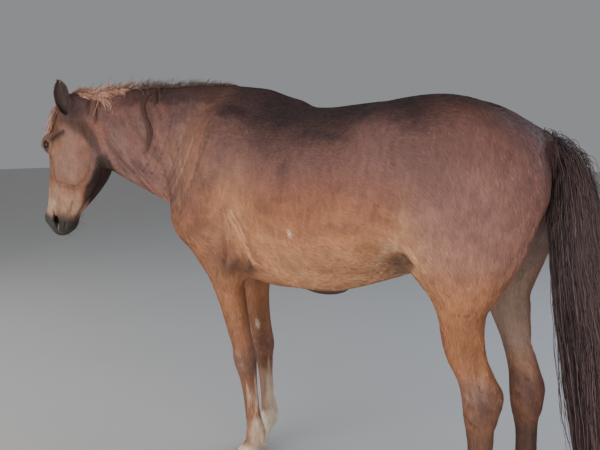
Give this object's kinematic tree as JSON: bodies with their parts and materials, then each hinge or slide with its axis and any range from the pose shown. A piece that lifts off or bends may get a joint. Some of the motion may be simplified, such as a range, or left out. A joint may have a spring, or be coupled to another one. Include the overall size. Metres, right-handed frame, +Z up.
{
  "type": "horse",
  "caption": "Life-size standing horse, a sleek chestnut with white front pasterns, a thin blonde mane and a long dark tail, still, in one quiet pose.",
  "frame": {"origin": "on the ground, under the middle of the whole horse (bottom centre of its bounding box)", "axes": "+X from the head towards the tail, -Y to the horse's own left side, +Z up"},
  "size_m": [2.2248, 0.6344, 1.5693],
  "materials": {
    "coat": "short sleek hair",
    "mane_hair": "long thin hair",
    "tail_hair": "long coarse hair",
    "eye": "wet gloss",
    "horn": "dry horn"
  },
  "bodies": {
    "root": {"trunk": "coat", "neck": "coat", "head": "coat", "ear_left": "coat", "ear_right": "coat", "eye_left": "eye", "eye_right": "eye", "leg_front_left": "coat", "leg_front_right": "coat", "leg_hind_left": "coat", "leg_hind_right": "coat", "hoof_front_left": "horn", "hoof_front_right": "horn", "hoof_hind_left": "horn", "hoof_hind_right": "horn", "tail": "tail_hair", "mane": "mane_hair", "forelock": "mane_hair"}
  },
  "joints": []
}
